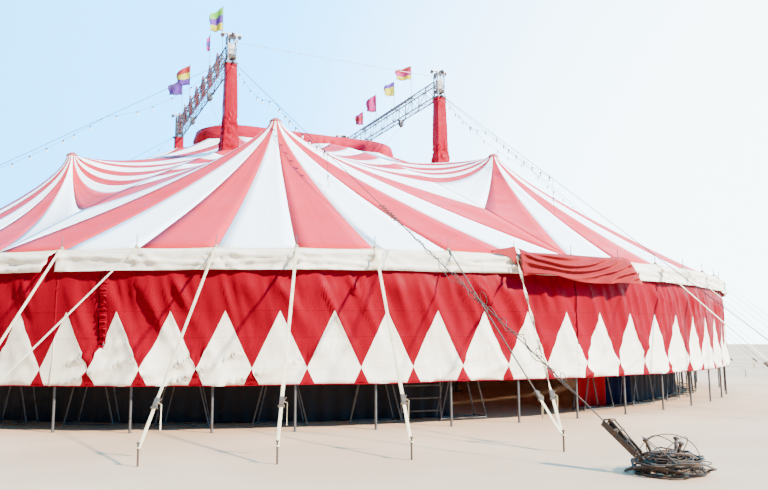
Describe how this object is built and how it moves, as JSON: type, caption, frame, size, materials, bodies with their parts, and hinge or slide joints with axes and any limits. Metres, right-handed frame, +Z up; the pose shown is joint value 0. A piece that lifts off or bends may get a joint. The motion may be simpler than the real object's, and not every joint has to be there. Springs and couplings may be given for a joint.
{
  "type": "circus big top tent",
  "caption": "Round big top tent on leaning queen poles and lattice masts joined by trusses, with a hung lantern, striped roof, diamond wall, guys and stays.",
  "frame": {"origin": "centre of the tent on the ground", "axes": "+Z up, +Y along the two trusses towards the back, +X from the truss with the sign to the other truss"},
  "size_m": [38.2508, 39.6894, 12.51],
  "materials": {
    "roof_cloth": "coated cloth in faded red and white stripes",
    "wall_cloth": "coated red cloth with a row of cream diamonds",
    "cream_cloth": "coated off-white cloth, weathered",
    "sleeve_cloth": "coated red cloth, glossy",
    "faded_cloth": "sun-faded red canvas",
    "dark_cloth": "black drape",
    "flag_cloth": "thin bright flag cloth",
    "webbing": "cream polyester webbing",
    "steel": "galvanised and grey-painted steel, worn",
    "wire": "steel wire rope, with rusty tensioners and stakes",
    "sign_frame": "dull red-brown paint"
  },
  "bodies": {
    "root": {"roof_back_right": "roof_cloth", "mast_back_right": "steel", "mast_sleeve_back_right": "sleeve_cloth", "mast_stays_back_right": "wire", "roof_back_left": "roof_cloth", "mast_back_left": "steel", "mast_sleeve_back_left": "sleeve_cloth", "mast_stays_back_left": "wire", "roof_front_left": "roof_cloth", "mast_front_left": "steel", "mast_sleeve_front_left": "sleeve_cloth", "mast_stays_front_left": "wire", "roof_front_right": "roof_cloth", "mast_front_right": "steel", "mast_sleeve_front_right": "sleeve_cloth", "mast_stays_front_right": "wire", "queen_pole_1": "steel", "queen_pole_2": "steel", "queen_pole_3": "steel", "queen_pole_4": "steel", "queen_pole_5": "steel", "queen_pole_6": "steel", "queen_pole_7": "steel", "queen_pole_8": "steel", "truss_left": "steel", "truss_right": "steel", "sign_row": "sign_frame", "flags_left": "flag_cloth", "flags_right": "flag_cloth", "lantern_frame": "steel", "lantern_hood": "sleeve_cloth", "side_poles_front": "steel", "side_poles_back": "steel", "guy_lines_front": "webbing", "guy_lines_back": "webbing", "wall_curtain_front": "wall_cloth", "wall_curtain_right": "wall_cloth", "wall_curtain_back": "wall_cloth", "wall_curtain_left": "wall_cloth", "valance": "cream_cloth", "entrance_awning": "faded_cloth", "head_tie_front": "wire", "head_tie_back": "wire", "seat_trestles": "steel", "seat_drape": "dark_cloth"}
  },
  "joints": []
}
